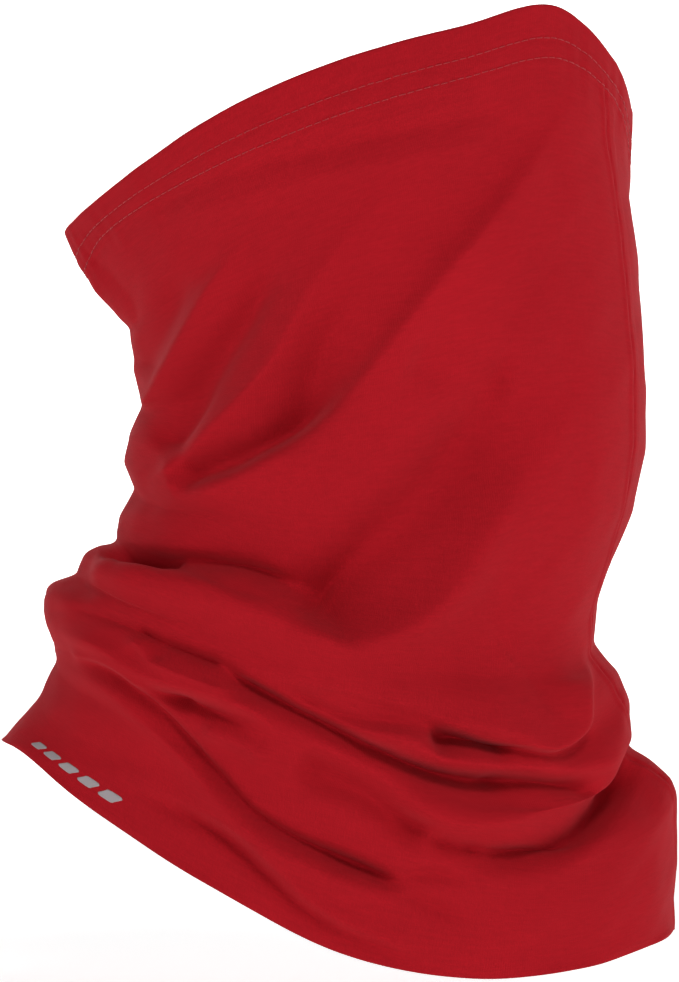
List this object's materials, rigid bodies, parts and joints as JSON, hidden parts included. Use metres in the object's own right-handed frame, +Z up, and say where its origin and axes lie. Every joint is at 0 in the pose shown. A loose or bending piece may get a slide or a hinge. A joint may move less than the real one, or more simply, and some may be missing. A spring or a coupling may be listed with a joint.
{
  "type": "neck gaiter",
  "caption": "Red knitted neck gaiter in its worn shape, pulled up over the nose, with a cover-stitched top hem, back seam, care label and reflective dash print",
  "frame": {"origin": "centre of the neck opening, level with the lowest point of the bottom edge", "axes": "+Z up the tube towards the face opening, -Y towards the face, +X towards the wearer's left"},
  "size_m": [0.152, 0.238, 0.3378],
  "materials": {
    "jersey": "brushed",
    "thread": "satin",
    "label_tape": "satin",
    "reflective_print": "satin"
  },
  "bodies": {
    "gaiter": {"knit_tube": "jersey", "top_hem_turning": "jersey", "hem_needle_thread_upper": "thread", "hem_needle_thread_lower": "thread", "hem_looper_thread": "thread", "back_seam_allowance": "jersey", "seam_needle_thread_inner": "thread", "seam_needle_thread_outer": "thread", "seam_looper_thread": "thread", "reflective_mark": "reflective_print"},
    "label": {"care_label": "label_tape"}
  },
  "joints": [
    {"name": "label_swing", "type": "hinge", "parent": "gaiter", "child": "label", "pos_m": [-0.0007, 0.11375, 0.03436], "axis": [0, 0, 1], "range_deg": [-12, 95]}
  ]
}
